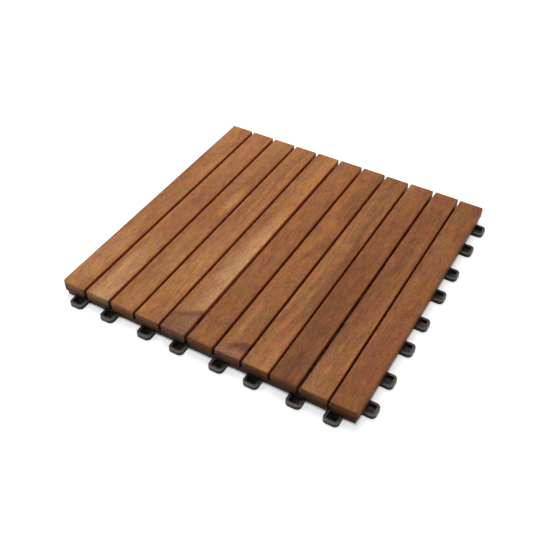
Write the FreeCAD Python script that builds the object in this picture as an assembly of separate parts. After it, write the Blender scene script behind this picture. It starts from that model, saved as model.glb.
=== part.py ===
"""Interlocking deck tile: eleven wooden slats screwed from below to a one-piece moulded base grid.

X runs across the slats and Y along them. The floor is at Z = 0, and the origin is the centre of the slat
field on the floor. Loops stand out of the front edge (-Y) and the right edge (+X). Pegs in pockets on the
back and left edges drop into the loops of the next tiles, so that the slats keep their pitch across a joint.
All sizes are in millimetres.
"""
import FreeCAD, Part
import math
import os

# Slats
slat_count = 11
slat_width = 38.0
slat_gap = 3.2
slat_length = 450.0
slat_thickness = 17.0
slat_edge_radius = 2.0
front_corner_radius = 6.0
back_corner_radius = 3.0

# Base grid
base_height = 9.0
base_setback = 4.0
rail_thickness = 3.0
rib_thickness = 2.4
rib_clearance = 2.4
cross_rib_count = 9

# Feet under the crossings of the ribs, below every second slat
foot_diameter = 12.0
foot_column_count = 5
foot_row_count = 3

# Loops on the front and right edges, each closed below by a thin floor
pair_count = 4
pair_spacing = 51.5
loop_width = 22.0
loop_reach = 14.0
loop_height = 6.5
loop_wall = 4.0
loop_floor = 1.4
loop_hole_tuck = 1.4
loop_corner_radius = 6.5
loop_hole_radius = 2.5
loop_edge_chamfer = 0.8

# Pegs and their pockets on the back and left edges
peg_thickness = 4.3
peg_lead_in = 1.2
peg_floor_gap = 0.6
peg_side_clearance = 1.0
peg_wall_clearance = 0.5
pocket_clearance = 1.0
pocket_wall = 2.4
pocket_roof = 2.0

# Screws, driven up through the bosses at the two outermost cross ribs into the slats
screw_diameter = 4.0
screw_length = 16.0
screw_tip = 3.0
screw_head_diameter = 8.0
screw_head_height = 1.9
screw_hole_clearance = 0.2
pilot_hole_spare = 0.6
boss_diameter = 10.0

# Worked out from the sizes above
slat_pitch = slat_width + slat_gap
field_width = slat_count * slat_pitch - slat_gap
half_x = field_width / 2
half_y = slat_length / 2
base_half_x = half_x - base_setback
base_half_y = half_y - base_setback
cross_rib_pitch = slat_length / (cross_rib_count + 1)
loop_hole_width = loop_width - 2 * loop_wall
peg_width = loop_hole_width - 2 * peg_side_clearance
pocket_width = loop_width + 2 * pocket_clearance
pocket_height = base_height - pocket_roof
through = 1.0


def vec(x, y, z=0.0):
    return FreeCAD.Vector(x, y, z)


def block(x0, x1, y0, y1, z0, z1):
    return Part.makeBox(x1 - x0, y1 - y0, z1 - z0, vec(x0, y0, z0))


def centred(count, pitch):
    """Places of count copies at an even pitch, centred on zero."""
    return [(i - (count - 1) / 2) * pitch for i in range(count)]


def slat_centres():
    return centred(slat_count, slat_pitch)


def cross_ribs():
    return centred(cross_rib_count, cross_rib_pitch)


def screw_places():
    return [cross_ribs()[0], cross_ribs()[-1]]


def foot_places():
    columns = centred(foot_column_count, 2 * slat_pitch)
    rows = centred(foot_row_count, 2 * cross_rib_pitch)
    return [(x, y) for x in columns for y in rows]


def loop_places(side):
    """Centres of the loops along a side of the tile, in pairs that share it out evenly."""
    places = []
    for pair in centred(pair_count, side / pair_count):
        places.append(pair - pair_spacing / 2)
        places.append(pair + pair_spacing / 2)
    return places


def rounded_outline(corners, radii):
    """Closed wire through the corners, each turned with its own radius (zero is sharp)."""
    count = len(corners)
    edges = []
    starts = []
    ends = []
    mids = []
    for i in range(count):
        here = corners[i]
        back = (corners[i - 1] - here).normalize()
        ahead = (corners[(i + 1) % count] - here).normalize()
        half_turn = back.getAngle(ahead) / 2
        setback = radii[i] / math.tan(half_turn)
        bisector = (back + ahead).normalize()
        starts.append(here + back * setback)
        ends.append(here + ahead * setback)
        mids.append(here + bisector * (radii[i] / math.sin(half_turn) - radii[i]))
    for i in range(count):
        if radii[i] > 0:
            edges.append(Part.Arc(starts[i], mids[i], ends[i]).toShape())
        edges.append(Part.LineSegment(ends[i], starts[(i + 1) % count]).toShape())
    return Part.Wire(edges)


def screw():
    """Screw on the Z axis, head down, its seat at the underside of a boss."""
    radius = screw_diameter / 2
    head = screw_head_diameter / 2
    seat = rib_clearance
    head_bottom = seat - screw_head_height
    tip = seat + screw_length
    points = [
        vec(0, 0, head_bottom),
        vec(head, 0, head_bottom),
        vec(head, 0, seat),
        vec(radius, 0, seat),
        vec(radius, 0, tip - screw_tip),
        vec(0, 0, tip),
        vec(0, 0, head_bottom),
    ]
    profile = Part.Face(Part.makePolygon(points))
    return profile.revolve(vec(0, 0, 0), vec(0, 0, 1), 360)


def slat(index, x_centre):
    """One slat with eased edges and blind screw holes, rounded at the tile's outer corners."""
    x0 = x_centre - slat_width / 2
    x1 = x_centre + slat_width / 2
    first = index == 0
    last = index == slat_count - 1
    corners = [vec(x0, -half_y), vec(x1, -half_y), vec(x1, half_y), vec(x0, half_y)]
    radii = [
        front_corner_radius if first else 0.0,
        front_corner_radius if last else 0.0,
        back_corner_radius if last else 0.0,
        back_corner_radius if first else 0.0,
    ]
    board = Part.Face(rounded_outline(corners, radii)).extrude(vec(0, 0, slat_thickness))
    board.translate(vec(0, 0, base_height))
    level_edges = [edge for edge in board.Edges if edge.BoundBox.ZLength < slat_thickness / 2]
    board = board.makeFillet(slat_edge_radius, level_edges)
    hole_depth = rib_clearance + screw_length - base_height + pilot_hole_spare
    holes = []
    for y in screw_places():
        holes.append(Part.makeCylinder(screw_diameter / 2, hole_depth, vec(x_centre, y, base_height)))
    return board.cut(holes)


def on_edge(shape, turn, along):
    """Copy of a shape made for the front edge, moved along it and turned to another edge."""
    copy = shape.copy()
    copy.translate(vec(along, 0, 0))
    copy.rotate(vec(0, 0, 0), vec(0, 0, 1), turn)
    return copy


def loop(base_half, half):
    """Loop on the front edge at X = 0, rooted in the rail. Its hole starts just under the slats."""
    w = loop_width / 2
    outer = -(half + loop_reach)
    root = -(base_half - rail_thickness / 2)
    r = loop_corner_radius
    corners = [vec(-w, root), vec(-w, outer), vec(w, outer), vec(w, root)]
    body = Part.Face(rounded_outline(corners, [0.0, r, r, 0.0])).extrude(vec(0, 0, loop_height))
    rim = []
    for edge in body.Edges:
        box = edge.BoundBox
        if box.ZMin > loop_height / 2 and box.YMin < root - through:
            rim.append(edge)
    body = body.makeChamfer(loop_edge_chamfer, rim)
    hole = loop_hole_width / 2
    inner = outer + loop_wall
    rear = -(half - loop_hole_tuck)
    rh = loop_hole_radius
    corners = [vec(-hole, rear), vec(-hole, inner), vec(hole, inner), vec(hole, rear)]
    opening = Part.Face(rounded_outline(corners, [rh, rh, rh, rh])).extrude(vec(0, 0, loop_height))
    opening.translate(vec(0, 0, loop_floor))
    return body.cut(opening)


def from_neighbour(half, distance):
    """A distance from the next tile's centre, as a distance from this tile's."""
    return 2 * half + slat_gap - distance


def peg_faces(half):
    """Outer and inner face of a peg, measured in from the neighbour's loop, as distances from the centre."""
    wall_face = from_neighbour(half, half + loop_reach - loop_wall)
    inner = wall_face + peg_wall_clearance
    return inner + peg_thickness, inner


def pocket_back(half):
    return from_neighbour(half, half + loop_reach) - pocket_clearance


def pocket_block(base_half, half):
    """Walls and roof round a pocket at the front edge, still solid."""
    w = pocket_width / 2 + pocket_wall
    back = pocket_back(half) - pocket_wall
    outer, inner = peg_faces(half)
    walls = block(-w, w, -base_half, -back, rib_clearance, base_height)
    roof = block(-peg_width / 2, peg_width / 2, -outer, -back, pocket_height, base_height)
    return walls.fuse(roof)


def pocket_space(base_half, half):
    w = pocket_width / 2
    return block(-w, w, -base_half - through, -pocket_back(half), -through, pocket_height)


def peg(half):
    """Peg hanging from the pocket's roof, with a lead-in along its two long lower edges."""
    outer, inner = peg_faces(half)
    w = peg_width / 2
    body = block(-w, w, -outer, -inner, loop_floor + peg_floor_gap, pocket_height + pocket_roof / 2)
    lower = []
    for edge in body.Edges:
        box = edge.BoundBox
        if box.ZMax < pocket_height / 2 and box.XLength > peg_width / 2:
            lower.append(edge)
    return body.makeChamfer(peg_lead_in, lower)


def base_grid():
    """The moulded base: rails, ribs, feet and screw bosses, with loops on two edges and pegs on two."""
    x1 = base_half_x
    y1 = base_half_y
    t = rail_thickness
    rail = block(-x1, x1, -y1, y1, 0, base_height)
    inside = block(-x1 + t, x1 - t, -y1 + t, y1 - t, -through, base_height + through)
    solids = []
    half_rib = rib_thickness / 2
    for x in slat_centres():
        solids.append(block(x - half_rib, x + half_rib, -y1 + t / 2, y1 - t / 2, rib_clearance, base_height))
    for y in cross_ribs():
        solids.append(block(-x1 + t / 2, x1 - t / 2, y - half_rib, y + half_rib, rib_clearance, base_height))
    for x, y in foot_places():
        solids.append(Part.makeCylinder(foot_diameter / 2, base_height, vec(x, y)))
    boss_height = base_height - rib_clearance
    for x in slat_centres():
        for y in screw_places():
            solids.append(Part.makeCylinder(boss_diameter / 2, boss_height, vec(x, y, rib_clearance)))
    spaces = []
    locks = []
    sides = [
        (field_width, base_half_y, half_y, 0, 180),
        (slat_length, base_half_x, half_x, 90, 270),
    ]
    for side, base_half, half, loop_turn, peg_turn in sides:
        for along in loop_places(side):
            solids.append(on_edge(pocket_block(base_half, half), peg_turn, -along))
            spaces.append(on_edge(pocket_space(base_half, half), peg_turn, -along))
            locks.append(on_edge(peg(half), peg_turn, -along))
            locks.append(on_edge(loop(base_half, half), loop_turn, along))
    for x in slat_centres():
        for y in screw_places():
            radius = screw_diameter / 2 + screw_hole_clearance
            spaces.append(Part.makeCylinder(radius, base_height + 2 * through, vec(x, y, -through)))
    grid = rail.cut(inside).multiFuse(solids)
    grid = grid.cut(spaces)
    grid = grid.multiFuse(locks)
    return grid.removeSplitter().Solids[0]


def screws():
    group = []
    for x in slat_centres():
        for y in screw_places():
            one = screw()
            one.translate(vec(x, y, 0))
            group.append(one)
    return Part.makeCompound(group)


def export(node, shape):
    shape.exportStep("parts/" + node + ".step")


def main():
    os.makedirs("parts", exist_ok=True)
    export("base_grid", base_grid())
    for index, x_centre in enumerate(slat_centres()):
        export("slat_%02d" % (index + 1), slat(index, x_centre))
    export("screws", screws())


main()
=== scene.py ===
import math
import random

import bpy
from mathutils import Matrix, Vector


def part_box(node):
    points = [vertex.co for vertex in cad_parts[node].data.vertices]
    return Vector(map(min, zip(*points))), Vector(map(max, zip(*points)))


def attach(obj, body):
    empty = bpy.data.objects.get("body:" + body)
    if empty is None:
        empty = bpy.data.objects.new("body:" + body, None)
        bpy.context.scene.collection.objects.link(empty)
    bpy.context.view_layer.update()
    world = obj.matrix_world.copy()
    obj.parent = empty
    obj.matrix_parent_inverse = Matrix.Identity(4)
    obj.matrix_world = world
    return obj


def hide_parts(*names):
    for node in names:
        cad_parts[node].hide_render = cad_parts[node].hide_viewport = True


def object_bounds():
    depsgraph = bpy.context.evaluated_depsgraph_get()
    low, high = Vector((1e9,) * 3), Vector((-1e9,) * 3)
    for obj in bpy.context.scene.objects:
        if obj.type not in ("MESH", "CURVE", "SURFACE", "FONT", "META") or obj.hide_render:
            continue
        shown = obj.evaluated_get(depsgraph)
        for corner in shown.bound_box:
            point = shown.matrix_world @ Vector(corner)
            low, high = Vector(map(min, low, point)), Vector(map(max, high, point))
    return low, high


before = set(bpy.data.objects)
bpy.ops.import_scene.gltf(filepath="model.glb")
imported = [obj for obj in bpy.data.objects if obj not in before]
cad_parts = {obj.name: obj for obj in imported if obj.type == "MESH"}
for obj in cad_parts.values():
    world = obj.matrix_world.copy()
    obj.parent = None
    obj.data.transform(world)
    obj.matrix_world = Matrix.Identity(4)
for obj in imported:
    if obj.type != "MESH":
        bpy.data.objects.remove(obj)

bl_info = {
    "name": "Deck tile finish",
    "version": (1, 0, 0),
    "blender": (4, 5, 0),
    "location": "View3D > Sidebar > Deck tile",
    "description": "Oiled hardwood boards, moulded base and screws of an interlocking deck tile, with a studio",
    "category": "Object",
}

CAD_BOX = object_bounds()
MM = 0.001

SLAT_NODES = sorted(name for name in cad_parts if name.startswith("slat_"))
FIRST_LOW, FIRST_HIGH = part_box(SLAT_NODES[0])
SLAT_BOTTOM = FIRST_LOW.z
HALF_FIELD = FIRST_HIGH.y
LOOP_TIP = CAD_BOX[1][0]
SCREW_LOW, SCREW_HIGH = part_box("screws")
HEAD_DIAMETER = 8 * MM
SCREW_ROW = (SCREW_HIGH.y - SCREW_LOW.y) / 2 - HEAD_DIAMETER / 2

# Which end or side of the tile is meant, as the sign of its Y or X
FRONT = -1
BACK = 1
LEFT = -1
RIGHT = 1

# The rounding of a screw's head as a share of its height, and the tip's width as a share of the root's
HEAD_ROUNDING = 0.45
TIP_SHARE = 0.06

# Sides of a drawn hole and head, and the distance below which two points of the CAD model's facets are one
HOLE_SIDES = 24
HEAD_SIDES = 32
WELD = 0.005 * MM

# The floor's width and how far it lies below the feet, and the width of the camera's sensor in millimetres
FLOOR_SIZE = 12
FLOOR_DROP = 0.2 * MM
SENSOR_WIDTH = 36

# Where a shader tree puts its nodes in the node editor
NODE_WIDTH = 220
NODE_HEIGHT = 180
NODES_IN_ROW = 12

# A normal's part along an axis, from where a face begins to count as facing it to where it does fully
FACING_END = (0.6, 0.95)
FACING_SIDE = (0.3, 0.8)
FACING_UP = (0.2, 0.7)

# How far from a half most of a noise lies: a narrow band gives strong patches, a wide one gives soft ones
NARROW = 0.2
WIDE = 0.25

# An angle that no point of a board is below, for boards without a fan of turned grain
NO_FAN = -2 * math.pi

# How the rings run. Waves are changes per metre. The fan bends by radians, the rings ripple by rings, and a
# radian of the fan stands for FAN_RADIAN metres of the rings' radius
WANDER_WAVES = 5.0
FAN_WAVES = (60.0, 60.0, 20.0)
FAN_BEND = 0.14
FAN_RADIAN = 0.06
RIPPLE_WAVES = (45.0, 5.0, 45.0)
RIPPLE = 1.3

# Streaks and bands of the wood, in changes per metre of radius and of length
STREAKS = (150.0, 2.6)
BANDS = (42.0, 2.2)

# Fine patterns of the wood: the changes per metre across and along, the noise's detail and roughness, and a
# shift that sets like patterns apart
WOOD_PATTERNS = {
    "Grain": (430.0, 64.0, 3.0, 0.65, 0.0),
    "Fibre": (1100.0, 16.0, 3.0, 0.6, 0.0),
    "Speckle": (700.0, 380.0, 1.0, 0.5, 0.0),
    "Shimmer": (90.0, 42.0, 3.0, 0.6, 0.0),
    "Clouds": (60.0, 45.0, 2.0, 0.6, 0.0),
    "Tints": (68.0, 50.0, 2.0, 0.6, 9.0),
    "Pores": (2300.0, 130.0, 0.0, 0.5, 0.0),
}

# Soft boxes round the tile: azimuth and elevation in degrees, distance, size, power and colour
LAMPS = {
    "key_lamp": (208, 64, 6.0, 3.0, 241.0, (1.0, 0.965, 0.91)),
    "left_lamp": (300, 42, 1.0, 0.7, 2.2, (1.0, 0.98, 0.96)),
    "right_lamp": (80, 15, 1.0, 0.7, 1.4, (1.0, 0.96, 0.90)),
    "low_lamp": (200, -70, 1.2, 1.0, 16.0, (1.0, 0.98, 0.96)),
}


def tone(red, green, blue):
    """A colour given as the 0 to 255 values of a colour picker, as the linear values that a shader reads."""
    def linear(value):
        share = value / 255
        return share / 12.92 if share <= 0.04045 else ((share + 0.055) / 1.055) ** 2.4
    return (linear(red), linear(green), linear(blue), 1.0)


BLOND = tone(192, 138, 84)
PALE = tone(200, 152, 106)
DUSKY = tone(104, 62, 40)


class Board:
    """How one slat was cut: its tone, where the tree's heart lay, and its small errors of size and place."""

    depth = 0.5
    redness = 0.3
    fan_place = (0.0, 0.0)
    fan_top = NO_FAN
    fan_tone = tone(132, 94, 72)
    fan_rim = 0.4
    patches = ()
    open_side = 0.0
    end_light = 1.0
    slope_x = 0.0
    slope_y = 0.0

    def __init__(self, number):
        luck = random.Random(400 + number)
        self.seed = 10.0 + 3.7 * number
        self.streak = luck.uniform(0.4, 0.6)
        self.light = luck.uniform(0.3, 0.6)
        self.heart_x = luck.uniform(-26, 26) * MM
        self.heart_z = -luck.uniform(34, 90) * MM
        self.lean = luck.uniform(-0.05, 0.05)
        self.ring = luck.uniform(3.2, 5.5) * MM
        self.wander = luck.uniform(10, 22) * MM
        self.front_trim = luck.uniform(0.0, 0.7) * MM
        self.back_trim = luck.uniform(0.0, 1.6) * MM
        self.width_loss = luck.uniform(0.1, 0.7) * MM
        self.side_shift = luck.uniform(-0.5, 0.5) * MM
        self.turn = luck.uniform(-0.06, 0.06)


class Patch:
    """A soft patch of another tone. Its place and length are in millimetres from the board's middle."""

    def __init__(self, x, y, length, share, colour):
        self.x = x * MM
        self.y = y * MM
        self.half_length = length / 2 * MM
        self.half_width = length / 10 * MM
        self.share = share
        self.colour = colour


# What the real slats show, counted from the left. A slope is a change of lightness to the right or the back
BOARD_NOTES = {
    1: {"depth": 0.42, "redness": 0.40, "slope_y": -0.05, "end_light": 1.25,
        "side_shift": 0.3 * MM, "turn": 0.0, "open_side": LEFT,
        "patches": [Patch(0, 15, 220, 0.18, DUSKY), Patch(0, -150, 200, 0.35, PALE)]},
    2: {"depth": 0.16, "redness": 0.25, "slope_y": -0.04,
        "patches": [Patch(0, -205, 280, 0.7, PALE), Patch(0, 15, 220, 0.18, DUSKY)]},
    3: {"depth": 0.55, "redness": 0.40, "light": 0.5, "end_light": 1.25,
        "patches": [Patch(0, -115, 190, 0.45, DUSKY), Patch(8, 45, 110, 0.6, BLOND)]},
    4: {"depth": 0.28, "redness": 0.25, "slope_y": 0.04,
        "patches": [Patch(0, -110, 160, 0.3, BLOND)]},
    5: {"depth": 0.18, "redness": 0.15, "light": 0.5, "slope_x": 0.2, "slope_y": -0.06, "end_light": 1.38,
        "fan_place": (-62 * MM, -218 * MM), "fan_top": math.radians(27), "fan_tone": tone(112, 78, 60),
        "patches": [Patch(16, -80, 320, 0.8, PALE), Patch(-16, 40, 200, 0.2, DUSKY)]},
    6: {"depth": 0.64, "redness": 0.50, "light": 0.25, "slope_y": 0.02, "end_light": 1.08,
        "back_trim": 0.05 * MM},
    7: {"depth": 0.68, "redness": 0.30, "light": 0.5, "slope_x": -0.08, "slope_y": 0.04, "end_light": 0.75,
        "fan_place": (-58 * MM, -236 * MM), "fan_top": math.radians(27), "fan_tone": tone(166, 114, 88),
        "fan_rim": 0.9,
        "patches": [Patch(-8, -150, 200, 0.25, DUSKY)]},
    8: {"depth": 0.54, "redness": 0.50, "light": 0.2, "slope_x": 0.08, "slope_y": -0.16, "end_light": 0.65},
    9: {"depth": 0.90, "redness": 0.85, "light": 0.15, "slope_y": 0.10, "end_light": 1.5,
        "patches": [Patch(0, -190, 260, 0.25, DUSKY)]},
    10: {"depth": 0.78, "redness": 0.65, "light": 0.3, "slope_y": -0.04, "end_light": 0.85,
         "patches": [Patch(0, 95, 240, 0.22, DUSKY)]},
    11: {"depth": 0.88, "redness": 0.80, "light": 0.15, "slope_y": -0.07,
         "side_shift": -0.3 * MM, "turn": 0.0, "open_side": RIGHT},
}


def board(number):
    """The cut of slat NUMBER, with the listed notes of what the real slat shows set on it."""
    cut = Board(number)
    for name, value in BOARD_NOTES.get(number, {}).items():
        setattr(cut, name, value)
    return cut


class Wiring:
    """Short ways to add and join the nodes of one shader tree."""

    def __init__(self, tree):
        self.tree = tree

    def add(self, kind, **settings):
        node = self.tree.nodes.new(kind)
        for name, value in settings.items():
            setattr(node, name, value)
        row, column = divmod(len(self.tree.nodes), NODES_IN_ROW)
        node.location = (NODE_WIDTH * column, -NODE_HEIGHT * row)
        return node

    def feed(self, socket, value):
        if isinstance(value, bpy.types.NodeSocket):
            self.tree.links.new(value, socket)
        else:
            socket.default_value = value

    def feed_all(self, sockets, values):
        for socket, value in zip(sockets, values):
            self.feed(socket, value)

    def fill(self, node, **values):
        """Feeds a node's inputs by name, with _ for each space. Returns its outputs."""
        for name, value in values.items():
            self.feed(node.inputs[name.replace("_", " ")], value)
        return node.outputs

    def math(self, operation, *values):
        """One Math node, with the operation under the node's own name for it."""
        node = self.add("ShaderNodeMath", operation=operation)
        self.feed_all(node.inputs, values)
        return node.outputs[0]

    def plus(self, first, second):
        return self.math("ADD", first, second)

    def minus(self, first, second):
        return self.math("SUBTRACT", first, second)

    def times(self, first, second):
        return self.math("MULTIPLY", first, second)

    def over(self, first, second):
        return self.math("DIVIDE", first, second)

    def times_plus(self, first, second, third):
        """First times second, plus third."""
        return self.math("MULTIPLY_ADD", first, second, third)

    def unsigned(self, value):
        return self.math("ABSOLUTE", value)

    def larger(self, first, second):
        return self.math("MAXIMUM", first, second)

    def smaller(self, first, second):
        return self.math("MINIMUM", first, second)

    def reach(self, x, y):
        """How far a point is from the middle, square to the tile's edges."""
        return self.larger(self.unsigned(x), self.unsigned(y))

    def vector(self, operation, *values, result="Vector"):
        """One Vector Math node, with the operation under the node's own name for it."""
        node = self.add("ShaderNodeVectorMath", operation=operation)
        self.feed_all(node.inputs, values)
        return node.outputs[result]

    def length(self, vector):
        return self.vector("LENGTH", vector, result="Value")

    def stretch(self, place, factors, shift=(0.0, 0.0, 0.0)):
        """A place with each coordinate times its factor, then moved by a shift."""
        return self.vector("MULTIPLY_ADD", place, factors, shift)

    def split(self, vector):
        node = self.add("ShaderNodeSeparateXYZ")
        self.feed(node.inputs[0], vector)
        return node.outputs[0], node.outputs[1], node.outputs[2]

    def join(self, x, y, z):
        node = self.add("ShaderNodeCombineXYZ")
        self.feed_all(node.inputs, (x, y, z))
        return node.outputs[0]

    def noise(self, place, scale=1.0, detail=2.0, rough=0.5):
        node = self.add("ShaderNodeTexNoise")
        return self.fill(node, Vector=place, Scale=scale, Detail=detail, Roughness=rough)[0]

    def step(self, value, low, high, start=0.0, end=1.0):
        """Start below low, end above high, and a smooth step between them."""
        node = self.add("ShaderNodeMapRange", interpolation_type="SMOOTHSTEP")
        return self.fill(node, Value=value, From_Min=low, From_Max=high, To_Min=start, To_Max=end)[0]

    def fade(self, value, low, high):
        """1 below low, 0 above high, and a smooth step between them."""
        return self.step(value, low, high, 1.0, 0.0)

    def swing(self, noise, amount, band=NARROW, middle=0.0):
        """A value that goes by amount to either side of its middle as a noise does."""
        return self.step(noise, 0.5 - band, 0.5 + band, middle - amount, middle + amount)

    def between(self, share, first, second):
        """Number first, turned into second by share."""
        node = self.add("ShaderNodeMix", data_type="FLOAT")
        self.feed_all((node.inputs[0], node.inputs[2], node.inputs[3]), (share, first, second))
        return node.outputs[0]

    def blend(self, share, first, second, mode="MIX"):
        """Colour first, turned into second by share."""
        node = self.add("ShaderNodeMix", data_type="RGBA", blend_type=mode)
        self.feed_all((node.inputs[0], node.inputs[6], node.inputs[7]), (share, first, second))
        return node.outputs[2]

    def tint(self, share, colour, factors):
        """A colour times some factors, by share."""
        return self.blend(share, colour, factors, "MULTIPLY")

    def lay(self, colour, *layers):
        """A colour with others laid over it, each by its share."""
        for share, layer in layers:
            colour = self.blend(share, colour, layer)
        return colour

    def group(self, tree, **values):
        """One group node with these inputs."""
        return self.fill(self.add("ShaderNodeGroup", node_tree=tree), **values)

    def shader(self, kind, **values):
        """One shader node with these inputs."""
        return self.fill(self.add(kind), **values)[0]

    def mix_shaders(self, share, first, second):
        """Shader first, turned into second by share."""
        node = self.add("ShaderNodeMixShader")
        self.feed_all(node.inputs, (share, first, second))
        return node.outputs[0]


def new_group(name, vectors, values, results):
    """An empty node group that takes these vectors and values and gives these values. All are named."""
    tree = bpy.data.node_groups.new(name, "ShaderNodeTree")
    for labels, side, kind in ((vectors, "INPUT", "Vector"), (values, "INPUT", "Float"),
                               (results, "OUTPUT", "Float")):
        for label in labels:
            tree.interface.new_socket(label, in_out=side, socket_type="NodeSocket" + kind)
    w = Wiring(tree)
    return tree, w, w.add("NodeGroupInput").outputs


def timber_figure_group():
    """The pattern of a sawn board: rings round a heart below it, a fan of turned grain, streaks and grain."""
    tree, w, given = new_group(
        "timber_figure",
        ["Place"],
        ["Seed", "Heart X", "Heart Z", "Lean", "Ring", "Wander", "Fan X", "Fan Y", "Fan Top"],
        ["Rings", "Streaks", "Bands", "Fan", "Fan Rim", *WOOD_PATTERNS],
    )
    place = given["Place"]
    seed = given["Seed"]
    x, y, z = w.split(place)

    # The distance from the heart, which leans and wanders along the board
    slow_y = w.times(y, WANDER_WAVES)
    wander_x = w.minus(w.noise(w.join(seed, slow_y, 0.0)), 0.5)
    wander_z = w.minus(w.noise(w.join(7.0, slow_y, seed)), 0.5)
    across = w.minus(w.minus(x, given["Heart X"]), w.times(y, given["Lean"]))
    across = w.times_plus(wander_x, given["Wander"], across)
    down = w.times_plus(wander_z, given["Wander"], w.minus(z, given["Heart Z"]))
    radius = w.length(w.join(across, 0.0, down))

    # The fan's grain turns round a point beside the board, up to the angle Fan Top, with a dark rim there
    bent = w.noise(w.stretch(place, FAN_WAVES))
    angle = w.math("ARCTAN2", w.minus(y, given["Fan Y"]), w.minus(x, given["Fan X"]))
    angle = w.times_plus(bent, FAN_BEND, angle)
    above = w.minus(angle, given["Fan Top"])
    fan = w.fade(above, 0.02, 0.13)
    rim = w.times(w.step(above, -0.12, 0.02), w.fade(above, 0.05, 0.15))
    rim = w.times(rim, w.step(x, -14 * MM, 6 * MM, 0.3, 1.0))
    radius = w.between(fan, radius, w.times(angle, FAN_RADIAN))

    # Each ring darkens slowly over its width and ends sharply
    ripple = w.noise(w.stretch(place, RIPPLE_WAVES, w.join(seed, 0.0, 0.0)), detail=3.0)
    count = w.plus(w.over(radius, given["Ring"]), w.times(ripple, RIPPLE))
    part = w.math("FRACT", count)
    rings = w.times(w.step(part, 0.0, 0.8), w.fade(part, 0.88, 1.0))

    # Streaks and broad bands keep to a radius, and so run with the rings
    streak_place = w.join(w.times(radius, STREAKS[0]), w.times(y, STREAKS[1]), seed)
    streaks = w.noise(streak_place, detail=4.0, rough=0.55)
    band_place = w.join(w.times(radius, BANDS[0]), w.times(y, BANDS[1]), w.plus(seed, 31.0))
    bands = w.noise(band_place, detail=1.0)
    results = {"Rings": rings, "Streaks": streaks, "Bands": bands, "Fan": fan, "Fan Rim": rim}

    board_place = w.join(w.plus(across, seed), y, down)
    for name, (wide, long, detail, rough, shift) in WOOD_PATTERNS.items():
        shifted = w.stretch(board_place, (wide, long, wide), (0.0, 0.0, shift))
        results[name] = w.noise(shifted, detail=detail, rough=rough)
    results["Pores"] = w.step(results["Pores"], 0.62, 0.72)
    w.fill(w.add("NodeGroupOutput"), **results)
    return tree


def box_edge_group():
    """The distance of a point on a box's surface from the box's nearest edge."""
    tree, w, given = new_group("box_edge", ["Place", "Half Size"], [], ["Distance"])
    inside = w.vector("SUBTRACT", given["Half Size"], w.vector("ABSOLUTE", given["Place"]))
    x, y, z = w.split(inside)
    total = w.plus(w.plus(x, y), z)
    least = w.smaller(w.smaller(x, y), z)
    most = w.larger(w.larger(x, y), z)
    w.fill(w.add("NodeGroupOutput"), Distance=w.minus(w.minus(total, least), most))
    return tree


def blotch_group():
    """Uneven dullness, such as dust, handling or an uneven coat: 0 is none, 1 is full."""
    tree, w, given = new_group("blotches", ["Place"], ["Size", "Cover"], ["Mask", "Fine"])
    per_size = w.over(1.0, given["Size"])
    place = w.vector("MULTIPLY", given["Place"], w.join(per_size, per_size, per_size))
    cloud = w.noise(place, detail=4.0, rough=0.6)
    low = w.minus(0.75, w.times(given["Cover"], 0.5))
    w.fill(w.add("NodeGroupOutput"), Mask=w.step(cloud, low, w.plus(low, 0.22)), Fine=w.noise(place, 9.0))
    return tree


def shared_groups():
    """The node groups that the materials share, made once."""
    makers = {"figure": ("timber_figure", timber_figure_group), "edge": ("box_edge", box_edge_group),
              "blotches": ("blotches", blotch_group)}
    return {key: bpy.data.node_groups.get(name) or make() for key, (name, make) in makers.items()}


def empty_tree(owner):
    """Gives a material or world an empty node tree, and returns the tree's wiring."""
    owner.use_nodes = True
    owner.node_tree.nodes.clear()
    return Wiring(owner.node_tree)


def new_material(name):
    """A material with one Principled shader. Returns the material, its wiring and its shader."""
    material = bpy.data.materials.new(name)
    w = empty_tree(material)
    shader = w.add("ShaderNodeBsdfPrincipled")
    w.fill(w.add("ShaderNodeOutputMaterial"), Surface=shader.outputs[0])
    return material, w, shader


def place_from(w, centre=(0.0, 0.0, 0.0)):
    """Object coordinates measured from a point, and the surface's normal."""
    given = w.add("ShaderNodeTexCoord").outputs
    back = [-value for value in centre]
    return w.fill(w.add("ShaderNodeMapping"), Vector=given["Object"], Location=back)[0], given["Normal"]


def relief(w, shader, height, depth):
    """Bump on a shader, from a height of 0 to 1 that is DEPTH metres deep."""
    w.fill(shader, Normal=w.shader("ShaderNodeBump", Strength=1.0, Distance=depth, Height=height))


def board_tone(w, cut, wood, figure, x, y):
    """The colour of a board seen from a step away: its tone, patches, streaks, fan and rings."""
    redness = w.swing(figure["Tints"], wood.clouds, middle=cut.redness)
    pale = w.blend(redness, wood.golden, wood.pink)
    deep = w.blend(redness, wood.brown, wood.red)
    colour = w.blend(cut.depth, pale, deep)
    colour = w.blend(w.times(w.step(figure["Bands"], 0.45, 0.72), cut.light), colour, wood.blond)
    for patch in cut.patches:
        patch_x = w.over(w.minus(x, patch.x), patch.half_width)
        patch_y = w.over(w.minus(y, patch.y), patch.half_length)
        from_middle = w.length(w.join(patch_x, patch_y, 0.0))
        colour = w.blend(w.step(from_middle, 0.2, 1.1, patch.share, 0.0), colour, patch.colour)
    return w.lay(
        colour,
        (w.times(w.step(figure["Streaks"], 0.52, 0.30), cut.streak), wood.dark),
        (w.times(w.step(figure["Streaks"], 0.52, 0.74), cut.light), wood.blond),
        (w.times(figure["Fan"], 0.75), cut.fan_tone),
        (w.times(figure["Fan Rim"], cut.fan_rim), wood.dark),
        (w.times(figure["Rings"], w.between(figure["Fan"], wood.ring_contrast, 0.3)), wood.dark),
    )


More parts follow.
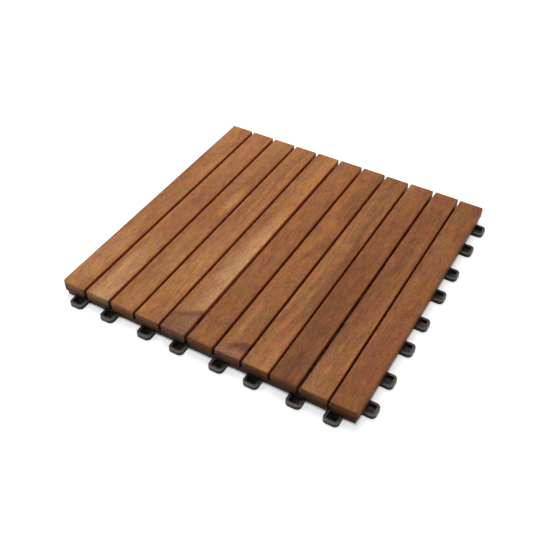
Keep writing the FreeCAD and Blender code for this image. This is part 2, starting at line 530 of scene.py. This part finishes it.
def board_grain(w, cut, wood, figure, colour, x, y, half_size):
    """A board's colour with its mottling, fibre and pores, and its change of lightness over the board."""
    warm = w.swing(figure["Clouds"], wood.hue_shift)
    rosy = w.swing(figure["Tints"], wood.hue_shift)
    hue = w.join(w.times_plus(warm, 0.7, 1.0), w.minus(1.0, warm), w.times_plus(rosy, 2.0, 1.0))
    colour = w.tint(1.0, colour, hue)
    shade = w.swing(figure["Fibre"], wood.fibre_contrast, WIDE, middle=1.0)
    shade = w.plus(shade, w.swing(figure["Shimmer"], wood.shimmer))
    shade = w.plus(shade, w.swing(figure["Grain"], wood.grain_contrast))
    shade = w.plus(shade, w.swing(figure["Speckle"], wood.speckle, WIDE))
    shade = w.times_plus(x, cut.slope_x / half_size.x, shade)
    shade = w.times_plus(y, cut.slope_y / half_size.y, shade)
    colour = w.tint(1.0, colour, w.join(shade, shade, shade))
    return w.blend(w.times(figure["Pores"], 0.28), colour, wood.pore)


def board_gap(w, cut, wood, colour, across, y, half_size, sunk):
    """A board's colour with painted shade on the sides that face other boards, darker towards the ends."""
    faces_gap = w.math("LESS_THAN", w.times(across, cut.open_side), 0.1)
    in_gap = w.times(w.step(w.unsigned(across), *FACING_SIDE), faces_gap)
    in_gap = w.times(in_gap, w.step(sunk, 0.4 * MM, 3.5 * MM))
    from_end = w.minus(half_size.y, w.unsigned(y))
    # Painted shade in the gaps, darker towards the ends of the boards
    gap_shade_tint = w.blend(w.step(from_end, 2 * MM, 16 * MM), wood.gap_end_shade_tint, wood.gap_shade_tint)
    return w.tint(in_gap, colour, gap_shade_tint)


def timber(cut, name, centre, half_size, wood, groups):
    """Oiled hardwood for one board, cut as CUT says."""
    material, w, shader = new_material(name)
    place, normal = place_from(w, centre)
    x, y, z = w.split(place)
    across, along, up = w.split(normal)
    figure = w.group(groups["figure"], Place=place, Seed=cut.seed, Heart_X=cut.heart_x, Heart_Z=cut.heart_z,
                     Lean=cut.lean, Ring=cut.ring, Wander=cut.wander, Fan_X=cut.fan_place[0],
                     Fan_Y=cut.fan_place[1], Fan_Top=cut.fan_top)
    edge = w.group(groups["edge"], Place=place, Half_Size=half_size)["Distance"]
    spots = w.group(groups["blotches"], Place=place, Size=12 * MM, Cover=0.6)
    end_face = w.step(w.unsigned(along), *FACING_END)
    upright = w.fade(w.unsigned(up), *FACING_UP)
    sunk = w.minus(half_size.z, z)

    colour = board_tone(w, cut, wood, figure, x, y)
    colour = board_grain(w, cut, wood, figure, colour, x, y, half_size)
    worn = w.times(w.fade(edge, 0.2 * MM, 2.2 * MM), w.step(spots["Fine"], 0.3, 0.6, 0.35, 1.0))
    colour = w.blend(w.times(worn, wood.edge_wear), colour, wood.blond)
    colour = w.tint(end_face, colour, [cut.end_light * share for share in wood.end_tint])
    # Painted shade: the upright ends and sides darken towards the floor
    colour = w.tint(w.times(upright, w.step(sunk, 2 * MM, 15 * MM)), colour, wood.low_shade_tint)
    colour = board_gap(w, cut, wood, colour, across, y, half_size, sunk)

    rough = w.times_plus(figure["Fibre"], 0.16, wood.roughness - 0.08)
    for mask, more in ((spots["Mask"], 0.07), (figure["Pores"], 0.2), (end_face, 0.2)):
        rough = w.times_plus(mask, more, rough)
    w.fill(shader, Base_Color=colour, Roughness=rough, Specular_IOR_Level=wood.sheen)
    height = w.times_plus(figure["Rings"], 0.3, w.times(figure["Fibre"], 0.5))
    relief(w, shader, w.minus(height, w.times(figure["Pores"], 0.8)), wood.relief)
    return material


def moulded_plastic(settings, groups):
    """Black moulded plastic, with painted shade under the boards and on the loops' floors, painted light on its
    open faces and painted highlights on its upper edges.
    """
    material, w, shader = new_material("moulded_plastic")
    place, normal = place_from(w)
    x, y, z = w.split(place)
    up = w.split(normal)[2]
    patches = w.group(groups["blotches"], Place=place, Size=22 * MM, Cover=0.5)
    grain = w.noise(place, 2600.0, rough=0.6)
    flow = w.noise(w.stretch(place, (60.0, 60.0, 160.0)), detail=3.0)
    colour = w.blend(w.step(flow, 0.3, 0.7), settings.dark, settings.light)

    # Painted light: the up-facing faces beyond the boards, the loop tips and the underside take a paler tone.
    # Under the boards the plastic stays deep black as painted shade.
    reach = w.reach(x, y)
    bare = w.step(reach, HALF_FIELD - 1 * MM, HALF_FIELD + 2 * MM)
    tip = w.step(reach, LOOP_TIP - 3 * MM, LOOP_TIP - 1 * MM)
    level = w.step(up, 0.5, 0.9)
    underside = w.fade(up, -0.9, -0.5)
    painted_lit_face = w.larger(w.times(bare, w.larger(level, tip)), underside)
    painted_light = w.times(painted_lit_face, w.between(patches["Mask"], settings.painted_light, 1.0))
    # Painted highlights on the sloped upper edges beyond the boards
    upper_edge = w.times(w.step(up, 0.15, 0.5), w.fade(up, 0.8, 0.98))
    painted_highlight = w.times(w.times(upper_edge, bare), settings.painted_highlight)
    # Painted shade on the up-facing floors of the loops
    sunk = w.fade(z, settings.floor_top, settings.floor_top + 0.4 * MM)
    colour = w.lay(
        colour,
        (painted_light, settings.painted_light_tone),
        (painted_highlight, settings.painted_highlight_tone),
        (w.times(sunk, level), settings.hollow_shade),
    )
    rough = w.times_plus(grain, 0.12, w.times_plus(patches["Mask"], 0.10, settings.roughness))
    w.fill(shader, Base_Color=colour, Roughness=rough, Specular_IOR_Level=settings.sheen)
    relief(w, shader, grain, settings.texture_depth)
    return material


def zinc_plate(settings, groups):
    """Zinc-plated steel, dulled in patches."""
    material, w, shader = new_material("zinc_plate")
    patches = w.group(groups["blotches"], Place=place_from(w)[0], Size=3 * MM, Cover=0.5)
    colour = w.blend(patches["Mask"], settings.bright, settings.dull)
    rough = w.times_plus(patches["Fine"], 0.25, settings.roughness)
    w.fill(shader, Base_Color=colour, Roughness=rough, Metallic=w.times_plus(patches["Mask"], -0.15, 1.0))
    relief(w, shader, patches["Fine"], 0.03 * MM)
    return material


def deselect():
    bpy.ops.object.select_all(action="DESELECT")


def select_only(piece):
    deselect()
    piece.select_set(True)
    bpy.context.view_layer.objects.active = piece


def pick(piece, kind, test):
    """Selects, in edit mode, the faces or edges of a piece that pass a test."""
    select_only(piece)
    bpy.ops.object.mode_set(mode="EDIT")
    bpy.ops.mesh.select_mode(type=kind)
    bpy.ops.mesh.select_all(action="DESELECT")
    bpy.ops.object.mode_set(mode="OBJECT")
    for element in {"FACE": piece.data.polygons, "EDGE": piece.data.edges}[kind]:
        element.select = bool(test(element))
    bpy.ops.object.mode_set(mode="EDIT")


def leave_edit():
    bpy.ops.object.mode_set(mode="OBJECT")


def apply_modifier(piece, kind, **settings):
    """Adds a modifier with these settings and applies it."""
    select_only(piece)
    modifier = piece.modifiers.new(kind.lower(), kind)
    for name, value in settings.items():
        setattr(modifier, name, value)
    bpy.ops.object.modifier_apply(modifier=modifier.name)


def cut_away(piece, bit):
    """Takes the shape of another object out of a piece, and removes that object."""
    apply_modifier(piece, "BOOLEAN", operation="DIFFERENCE", solver="EXACT", object=bit)
    bpy.data.objects.remove(bit)


def smooth(piece, angle):
    """Smooth shading but for edges sharper than an angle in degrees."""
    select_only(piece)
    bpy.ops.object.shade_smooth_by_angle(angle=math.radians(angle))


def settle(piece):
    """Puts the piece's place into its mesh, so that its object sits at the origin."""
    select_only(piece)
    bpy.ops.object.transform_apply(location=True, rotation=True, scale=True)


def dress(piece, name, node, material):
    """Names a finished piece, gives it its material and lets it stand for its node."""
    piece.name = name
    piece.data.name = name
    piece.data.materials.clear()
    piece.data.materials.append(material)
    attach(piece, "root")
    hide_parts(node)


def edge_ends(piece, edge):
    return [piece.data.vertices[index].co for index in edge.vertices]


def slat_piece(node, cut, sizes):
    """One board: a block with rounded outer corners, eased edges and blind screw holes."""
    low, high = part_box(node)
    middle_x = (low.x + high.x) / 2
    width = high.x - low.x - cut.width_loss - abs(cut.side_shift)
    front = low.y + cut.front_trim
    back = high.y - cut.back_trim
    centre = Vector((middle_x + cut.side_shift, (front + back) / 2, (low.z + high.z) / 2))
    deselect()
    bpy.ops.mesh.primitive_cube_add(size=1.0, location=centre, scale=(width, back - front, high.z - low.z))
    piece = bpy.context.object
    bpy.ops.object.transform_apply(location=False, rotation=False, scale=True)

    def corner(end, side):
        """A test for the block's upright edge at an end and a side."""
        def test(edge):
            first, second = edge_ends(piece, edge)
            middle = (first + second) / 2
            upright = abs(second.z - first.z) > 0.99 * (second - first).length
            return upright and middle.y * end > 0 and middle.x * side > 0
        return test

    outer_sides = {SLAT_NODES[0]: LEFT, SLAT_NODES[-1]: RIGHT}
    if node in outer_sides:
        for end, radius in ((FRONT, sizes.front_corner), (BACK, sizes.back_corner)):
            pick(piece, "EDGE", corner(end, outer_sides[node]))
            bpy.ops.mesh.bevel(offset=radius, segments=8, affect="EDGES")
            leave_edit()
    apply_modifier(piece, "BEVEL", width=sizes.edge_radius, segments=4, limit_method="ANGLE",
                   angle_limit=math.radians(50))
    piece.rotation_euler.z = math.radians(cut.turn)
    settle(piece)
    for end in (FRONT, BACK):
        deselect()
        mouth = (middle_x, end * SCREW_ROW, SLAT_BOTTOM)
        bpy.ops.mesh.primitive_cylinder_add(vertices=HOLE_SIDES, radius=sizes.pilot_radius,
                                            depth=2 * sizes.pilot_depth, location=mouth)
        cut_away(piece, bpy.context.object)
    smooth(piece, 35)
    return piece


def screw_piece(sizes):
    """One screw on the Z axis with a cross recess in its head, its tip up."""
    head = sizes.head_diameter / 2
    head_middle = SCREW_LOW.z + sizes.head_height / 2
    seat = SCREW_LOW.z + sizes.head_height
    deselect()
    bpy.ops.mesh.primitive_cylinder_add(vertices=HEAD_SIDES, radius=head, depth=sizes.head_height,
                                        location=(0, 0, head_middle))
    piece = bpy.context.object
    settle(piece)

    def outer_rim(edge):
        return all(end.z < head_middle and end.xy.length > 0.9 * head for end in edge_ends(piece, edge))

    pick(piece, "EDGE", outer_rim)
    bpy.ops.mesh.bevel(offset=HEAD_ROUNDING * sizes.head_height, segments=4, affect="EDGES")
    leave_edit()

    def upper_cap(face):
        return face.normal.z > 0.9

    pick(piece, "FACE", upper_cap)
    bpy.ops.mesh.inset(thickness=head - sizes.shank_diameter / 2)
    thread = SCREW_HIGH.z - sizes.tip_length - seat
    turns = int(thread / sizes.thread_pitch)

    def extrude(rise, share):
        """Draws the selected cap up by a rise and resizes it to a share."""
        bpy.ops.mesh.extrude_region_move(TRANSFORM_OT_translate={"value": (0, 0, rise)})
        bpy.ops.transform.resize(value=(share, share, 1))

    root = sizes.root_share
    bpy.ops.transform.resize(value=(root, root, 1))
    for turn in range(turns):
        extrude(thread / (2 * turns), 1 / root)
        extrude(thread / (2 * turns), root)
    extrude(sizes.tip_length, TIP_SHARE)
    leave_edit()

    for size in ((sizes.recess_length, sizes.recess_width), (sizes.recess_width, sizes.recess_length)):
        deselect()
        bpy.ops.mesh.primitive_cube_add(size=1.0, location=(0, 0, SCREW_LOW.z),
                                        scale=(*size, 2 * sizes.recess_depth))
        cut_away(piece, bpy.context.object)
    smooth(piece, 30)
    return piece


class TimberSettings(bpy.types.PropertyGroup):
    """Tones and finish of the wood."""

    golden: bpy.props.FloatVectorProperty(
        name="Golden", description="Tone of the palest boards", subtype="COLOR", size=4,
        default=tone(172, 114, 68))
    pink: bpy.props.FloatVectorProperty(
        name="Pink brown", description="Pale boards that lean to red", subtype="COLOR", size=4,
        default=tone(154, 101, 71))
    brown: bpy.props.FloatVectorProperty(
        name="Brown", description="Tone of the deepest boards", subtype="COLOR", size=4,
        default=tone(152, 94, 44))
    red: bpy.props.FloatVectorProperty(
        name="Red brown", description="Deep boards that lean to red", subtype="COLOR", size=4,
        default=tone(122, 70, 40))
    blond: bpy.props.FloatVectorProperty(
        name="Blond", description="Light streaks and worn edges", subtype="COLOR", size=4, default=BLOND)
    dark: bpy.props.FloatVectorProperty(
        name="Dark", description="Dark streaks and latewood", subtype="COLOR", size=4,
        default=tone(96, 56, 36))
    pore: bpy.props.FloatVectorProperty(
        name="Pore", description="Open pores", subtype="COLOR", size=4, default=tone(62, 34, 24))
    end_tint: bpy.props.FloatVectorProperty(
        name="End tint", description="What the soaked end grain takes off", subtype="COLOR", size=4,
        default=(0.88, 1.02, 1.30, 1.0))
    # Painted shade on the ends and sides, darker towards the floor
    low_shade_tint: bpy.props.FloatVectorProperty(
        name="Low shade tint", description="What darkens the ends and sides towards the floor", subtype="COLOR",
        size=4, default=(0.41, 0.36, 0.28, 1.0))
    # Painted shade on the board sides in the gaps, darker towards their ends
    gap_shade_tint: bpy.props.FloatVectorProperty(
        name="Gap shade tint", description="What the painted shade in the gaps takes off", subtype="COLOR", size=4,
        default=(0.92, 0.22, 0.01, 1.0))
    gap_end_shade_tint: bpy.props.FloatVectorProperty(
        name="Gap end shade tint", description="What darkens the gaps near the ends", subtype="COLOR", size=4,
        default=(0.30, 0.17, 0.12, 1.0))
    clouds: bpy.props.FloatProperty(
        name="Clouds", description="Change of redness within a board", default=0.2, min=0, max=1)
    hue_shift: bpy.props.FloatProperty(
        name="Hue shift", description="Warm and cool mottling within a board", default=0.055, min=0, max=1)
    grain_contrast: bpy.props.FloatProperty(
        name="Grain contrast", description="Depth of the short grain", default=0.15, min=0, max=1)
    ring_contrast: bpy.props.FloatProperty(
        name="Ring contrast", description="How dark the latewood is", default=0.12, min=0, max=1)
    fibre_contrast: bpy.props.FloatProperty(
        name="Fibre contrast", description="Depth of the fine lengthwise fibre", default=0.18, min=0, max=1)
    speckle: bpy.props.FloatProperty(
        name="Speckle", description="Light and dark specks of the sanded surface", default=0.17, min=0, max=1)
    shimmer: bpy.props.FloatProperty(
        name="Shimmer", description="Light and dark flecks of the interlocked grain", default=0.08, min=0,
        max=1)
    edge_wear: bpy.props.FloatProperty(
        name="Edge wear", description="Paleness of the eased edges", default=0.22, min=0, max=1)
    roughness: bpy.props.FloatProperty(
        name="Roughness", description="Roughness of the oiled face", default=0.5, min=0, max=1)
    sheen: bpy.props.FloatProperty(
        name="Reflection", description="Specular level of the oil", default=0.09, min=0, max=1)
    relief: bpy.props.FloatProperty(
        name="Relief", description="Depth of the open grain", default=0.12 * MM, unit="LENGTH")


class SlatSettings(bpy.types.PropertyGroup):
    """Sizes of the boards that the CAD model doesn't set for each board."""

    edge_radius: bpy.props.FloatProperty(
        name="Edge radius", description="Radius of the eased edges", default=2 * MM, unit="LENGTH")
    front_corner: bpy.props.FloatProperty(
        name="Front corner", description="Plan radius of the tile's front corners", default=6 * MM,
        unit="LENGTH")
    back_corner: bpy.props.FloatProperty(
        name="Back corner", description="Plan radius of the tile's back corners", default=3 * MM,
        unit="LENGTH")
    pilot_radius: bpy.props.FloatProperty(
        name="Hole radius", description="Radius of the blind screw holes", default=2 * MM, unit="LENGTH")
    pilot_depth: bpy.props.FloatProperty(
        name="Hole depth", description="Depth of the blind screw holes", default=10 * MM, unit="LENGTH")


class PlasticSettings(bpy.types.PropertyGroup):
    """Finish of the moulded base."""

    dark: bpy.props.FloatVectorProperty(
        name="Dark", description="Darker flow of the plastic", subtype="COLOR", size=4,
        default=tone(20, 18, 16))
    light: bpy.props.FloatVectorProperty(
        name="Light", description="Paler flow of the plastic", subtype="COLOR", size=4,
        default=tone(32, 29, 26))
    # Painted light: a paler tone on the underside and on the loops' open faces, and how patchy it is
    painted_light_tone: bpy.props.FloatVectorProperty(
        name="Painted light tone", description="Colour of the underside and of the loops' open faces",
        subtype="COLOR", size=4, default=tone(50, 46, 42))
    painted_light: bpy.props.FloatProperty(
        name="Painted light", description="How even the painted light is", default=0.42, min=0, max=1)
    # Painted highlights on the upper edges of the loops
    painted_highlight_tone: bpy.props.FloatVectorProperty(
        name="Painted highlight tone", description="Colour of the painted highlights on the upper edges", subtype="COLOR", size=4,
        default=tone(132, 124, 115))
    painted_highlight: bpy.props.FloatProperty(
        name="Painted highlight", description="How pale the upper edges are", default=0.8, min=0, max=1)
    # Painted shade on the floors of the loops
    hollow_shade: bpy.props.FloatVectorProperty(
        name="Hollow shade", description="Colour of the floors of the loops", subtype="COLOR", size=4,
        default=tone(18, 13, 9))
    floor_top: bpy.props.FloatProperty(
        name="Floor top", description="Height below which an upward face is the floor of a loop",
        default=1.6 * MM, unit="LENGTH")
    roughness: bpy.props.FloatProperty(
        name="Roughness", description="Least roughness of the plastic", default=0.36, min=0, max=1)
    sheen: bpy.props.FloatProperty(
        name="Reflection", description="Specular level of the plastic", default=0.27, min=0, max=1)
    texture_depth: bpy.props.FloatProperty(
        name="Texture depth", description="Depth of the mould's fine texture", default=0.05 * MM,
        unit="LENGTH")
    edge_round: bpy.props.FloatProperty(
        name="Edge round", description="Width of the softened edges", default=0.35 * MM, unit="LENGTH")


class ScrewSettings(bpy.types.PropertyGroup):
    """Sizes and finish of the screws."""

    head_diameter: bpy.props.FloatProperty(
        name="Head diameter", description="Diameter of the head", default=HEAD_DIAMETER, unit="LENGTH")
    head_height: bpy.props.FloatProperty(
        name="Head height", description="Height of the head", default=1.9 * MM, unit="LENGTH")
    shank_diameter: bpy.props.FloatProperty(
        name="Shank diameter", description="Diameter over the thread", default=4 * MM, unit="LENGTH")
    root_share: bpy.props.FloatProperty(
        name="Root share", description="Root diameter as a share of the shank", default=0.72, min=0.3, max=1)
    thread_pitch: bpy.props.FloatProperty(
        name="Thread pitch", description="Distance from ridge to ridge", default=1.4 * MM, unit="LENGTH")
    tip_length: bpy.props.FloatProperty(
        name="Tip length", description="Length of the point", default=3 * MM, unit="LENGTH")
    recess_length: bpy.props.FloatProperty(
        name="Recess length", description="Length of each slot of the cross", default=4.4 * MM, unit="LENGTH")
    recess_width: bpy.props.FloatProperty(
        name="Recess width", description="Width of each slot of the cross", default=1.0 * MM, unit="LENGTH")
    recess_depth: bpy.props.FloatProperty(
        name="Recess depth", description="Depth of the cross", default=1.2 * MM, unit="LENGTH")
    bright: bpy.props.FloatVectorProperty(
        name="Bright", description="Fresh zinc", subtype="COLOR", size=4, default=tone(196, 197, 200))
    dull: bpy.props.FloatVectorProperty(
        name="Dull", description="Dulled zinc", subtype="COLOR", size=4, default=tone(150, 150, 150))
    roughness: bpy.props.FloatProperty(
        name="Roughness", description="Least roughness of the zinc", default=0.28, min=0, max=1)


class StudioSettings(bpy.types.PropertyGroup):
    """Camera, lamps and floor."""

    azimuth: bpy.props.FloatProperty(
        name="Azimuth", description="Camera's turn from the front towards the right edge",
        default=math.radians(28.83), subtype="ANGLE")
    elevation: bpy.props.FloatProperty(
        name="Elevation", description="Camera's height above the horizon", default=math.radians(43.58),
        subtype="ANGLE")
    roll: bpy.props.FloatProperty(
        name="Roll", description="Camera's tilt about its own axis", default=math.radians(1.05),
        subtype="ANGLE")
    distance: bpy.props.FloatProperty(
        name="Distance", description="Camera's distance from its target", default=1.10737, unit="LENGTH")
    target: bpy.props.FloatVectorProperty(
        name="Target", description="Point in the middle of the picture", default=(0.02585, -0.06936, 0.026),
        subtype="XYZ")
    lens: bpy.props.FloatProperty(
        name="Lens", description="Focal length in millimetres on a 36 mm sensor", default=52.03)
    world_light: bpy.props.FloatProperty(
        name="World light", description="Light of the surroundings", default=0.32, min=0)
    floor_white: bpy.props.FloatProperty(
        name="Floor white", description="Reflection of the floor as the camera sees it", default=0.8, min=0)
    floor_glow: bpy.props.FloatProperty(
        name="Floor glow", description="Share of the floor's white that takes no shadow", default=0.6, min=0,
        max=1)
    floor_grey: bpy.props.FloatProperty(
        name="Floor grey", description="Reflection of the floor on the object", default=0.3, min=0, max=1)


def aimed(back, roll):
    """Rotation of a lamp or camera that looks along -BACK, level but for a roll."""
    side = Vector((0, 0, 1)).cross(back).normalized()
    up = back.cross(side)
    rolled_side = math.cos(roll) * side + math.sin(roll) * up
    rolled_up = math.cos(roll) * up - math.sin(roll) * side
    return Matrix((rolled_side, rolled_up, back)).transposed().to_4x4()


def direction(azimuth, elevation):
    """Unit vector towards a lamp or camera. Azimuth 0 is in front of the tile, 90 degrees at its right."""
    level = math.cos(elevation)
    return Vector((math.sin(azimuth) * level, -math.cos(azimuth) * level, math.sin(elevation)))


def lamp(name, azimuth, elevation, distance, size, power, colour):
    """A square soft box that faces the tile. Its angles are in degrees."""
    back = direction(math.radians(azimuth), math.radians(elevation))
    deselect()
    bpy.ops.object.light_add(type="AREA")
    light = bpy.context.object
    light.name = name
    light.data.name = name
    light.data.shape = "SQUARE"
    light.data.size = size
    light.data.energy = power
    light.data.color = colour
    light.matrix_world = Matrix.Translation(back * distance) @ aimed(back, 0.0)


def grey(value):
    return (value, value, value, 1.0)


def seen_by_eye(w):
    """1 for rays that carry the picture of the surroundings: straight, mirrored or through glass."""
    path = w.add("ShaderNodeLightPath").outputs
    seen = w.larger(path["Is Camera Ray"], path["Is Glossy Ray"])
    return w.larger(seen, path["Is Transmission Ray"])


def studio_floor(settings):
    """White to the eye but for the tile's shadow, and grey as light on the tile. It is clear from below, and
    lets light through under the tile."""
    material = bpy.data.materials.new("studio_floor")
    w = empty_tree(material)
    path = w.add("ShaderNodeLightPath").outputs
    x, y, z = w.split(w.add("ShaderNodeTexCoord").outputs["Object"])
    reach = w.reach(x, y)
    outside = w.step(reach, HALF_FIELD - 4 * MM, HALF_FIELD)

    # Two layers of white, so that the lit floor is seen as full white
    white = w.shader("ShaderNodeBsdfDiffuse", Color=grey(settings.floor_white))
    twice = w.add("ShaderNodeAddShader")
    w.feed_all(twice.inputs, (white, white))
    glow = w.shader("ShaderNodeEmission", Strength=1.0)
    share = w.step(reach, 1.5 * HALF_FIELD, 6 * HALF_FIELD, settings.floor_glow, 1.0)
    share = w.times(w.times(path["Is Camera Ray"], outside), share)
    pale = w.mix_shaders(share, twice.outputs[0], glow)

    plain = w.shader("ShaderNodeBsdfDiffuse", Color=grey(settings.floor_grey))
    seen = w.mix_shaders(seen_by_eye(w), plain, pale)
    lit_through = w.times(path["Is Shadow Ray"], w.minus(1.0, outside))
    from_below = w.add("ShaderNodeNewGeometry").outputs["Backfacing"]
    clear = w.shader("ShaderNodeBsdfTransparent")
    surface = w.mix_shaders(w.larger(lit_through, from_below), seen, clear)
    w.fill(w.add("ShaderNodeOutputMaterial"), Surface=surface)
    return material


def studio_world(settings):
    """White to the eye, and a plain soft light on the tile."""
    world = bpy.data.worlds.new("studio")
    w = empty_tree(world)
    soft = w.shader("ShaderNodeBackground", Color=grey(1.0), Strength=settings.world_light)
    white = w.shader("ShaderNodeBackground", Color=grey(1.0), Strength=1.0)
    surface = w.mix_shaders(seen_by_eye(w), soft, white)
    w.fill(w.add("ShaderNodeOutputWorld"), Surface=surface)
    return world


class DECK_TILE_OT_base(bpy.types.Operator):
    """Soften the edges of the moulded base grid and give it its textured black plastic"""

    bl_idname = "deck_tile.base"
    bl_label = "Base grid"

    def execute(self, context):
        settings = context.scene.deck_plastic
        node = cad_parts["base_grid"]
        deselect()
        piece = node.copy()
        piece.data = node.data.copy()
        for key in list(piece.keys()):
            del piece[key]
        context.scene.collection.objects.link(piece)
        select_only(piece)
        bpy.ops.object.mode_set(mode="EDIT")
        bpy.ops.mesh.select_all(action="SELECT")
        bpy.ops.mesh.remove_doubles(threshold=WELD)
        bpy.ops.mesh.dissolve_limited(angle_limit=math.radians(1))
        leave_edit()
        apply_modifier(piece, "BEVEL", width=settings.edge_round, segments=2, limit_method="ANGLE",
                       angle_limit=math.radians(40), use_clamp_overlap=True)
        smooth(piece, 35)
        dress(piece, "moulded_base", "base_grid", moulded_plastic(settings, shared_groups()))
        return {"FINISHED"}


class DECK_TILE_OT_slats(bpy.types.Operator):
    """Model the eleven boards and finish each in its own cut of oiled hardwood"""

    bl_idname = "deck_tile.slats"
    bl_label = "Slats"

    def execute(self, context):
        scene = context.scene
        groups = shared_groups()
        for number, node in enumerate(SLAT_NODES, 1):
            cut = board(number)
            low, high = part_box(node)
            name = "timber_%02d" % number
            material = timber(cut, name, (low + high) / 2, (high - low) / 2, scene.deck_timber, groups)
            piece = slat_piece(node, cut, scene.deck_slats)
            dress(piece, "board_%02d" % number, node, material)
        return {"FINISHED"}


class DECK_TILE_OT_screws(bpy.types.Operator):
    """Model one cross-head screw and set a copy under each end of every slat"""

    bl_idname = "deck_tile.screws"
    bl_label = "Screws"

    def execute(self, context):
        settings = context.scene.deck_screws
        pattern = screw_piece(settings)
        copies = []
        for node in SLAT_NODES:
            low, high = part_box(node)
            for end in (FRONT, BACK):
                copy = pattern.copy()
                copy.data = pattern.data.copy()
                copy.data.transform(Matrix.Translation(((low.x + high.x) / 2, end * SCREW_ROW, 0)))
                context.scene.collection.objects.link(copy)
                copies.append(copy)
        bpy.data.objects.remove(pattern)
        deselect()
        for copy in copies:
            copy.select_set(True)
        context.view_layer.objects.active = copies[0]
        bpy.ops.object.join()
        dress(copies[0], "screw_set", "screws", zinc_plate(settings, shared_groups()))
        return {"FINISHED"}


class DECK_TILE_OT_studio(bpy.types.Operator):
    """Add the floor, the soft lamps, the white surroundings and the camera"""

    bl_idname = "deck_tile.studio"
    bl_label = "Studio"

    def execute(self, context):
        scene = context.scene
        settings = scene.deck_studio
        deselect()
        bpy.ops.mesh.primitive_plane_add(size=FLOOR_SIZE, location=(0, 0, -FLOOR_DROP))
        floor = bpy.context.object
        floor.name = "floor"
        settle(floor)
        floor.data.materials.append(studio_floor(settings))
        scene.world = studio_world(settings)
        for name, values in LAMPS.items():
            lamp(name, *values)
        self.add_camera(scene, settings)
        scene.view_settings.view_transform = "Standard"
        return {"FINISHED"}

    def add_camera(self, scene, settings):
        back = direction(settings.azimuth, settings.elevation)
        deselect()
        bpy.ops.object.camera_add()
        camera = bpy.context.object
        camera.name = "camera"
        camera.data.sensor_width = SENSOR_WIDTH
        camera.data.lens = settings.lens
        camera.data.clip_start = 0.01
        camera.data.clip_end = 50
        place = Vector(settings.target) + back * settings.distance
        camera.matrix_world = Matrix.Translation(place) @ aimed(back, settings.roll)
        scene.camera = camera


class DECK_TILE_PT_panel(bpy.types.Panel):
    """Lists the steps and their settings"""

    bl_idname = "DECK_TILE_PT_panel"
    bl_label = "Deck tile"
    bl_space_type = "VIEW_3D"
    bl_region_type = "UI"
    bl_category = "Deck tile"

    def draw(self, context):
        for step, names in STEPS.items():
            box = self.layout.box()
            box.operator(step.bl_idname)
            for name in names:
                settings = getattr(context.scene, name)
                for key in settings.__annotations__:
                    box.prop(settings, key)


STEPS = {
    DECK_TILE_OT_base: ("deck_plastic",),
    DECK_TILE_OT_slats: ("deck_slats", "deck_timber"),
    DECK_TILE_OT_screws: ("deck_screws",),
    DECK_TILE_OT_studio: ("deck_studio",),
}
SETTINGS = {
    "deck_timber": TimberSettings,
    "deck_slats": SlatSettings,
    "deck_plastic": PlasticSettings,
    "deck_screws": ScrewSettings,
    "deck_studio": StudioSettings,
}
CLASSES = (*SETTINGS.values(), *STEPS, DECK_TILE_PT_panel)


def register():
    for cls in CLASSES:
        bpy.utils.register_class(cls)
    for name, kind in SETTINGS.items():
        setattr(bpy.types.Scene, name, bpy.props.PointerProperty(type=kind))


def unregister():
    for name in SETTINGS:
        delattr(bpy.types.Scene, name)
    for cls in reversed(CLASSES):
        bpy.utils.unregister_class(cls)


def main():
    register()
    bpy.ops.deck_tile.base()
    bpy.ops.deck_tile.slats()
    bpy.ops.deck_tile.screws()
    bpy.ops.deck_tile.studio()


if __name__ == "__main__":
    main()
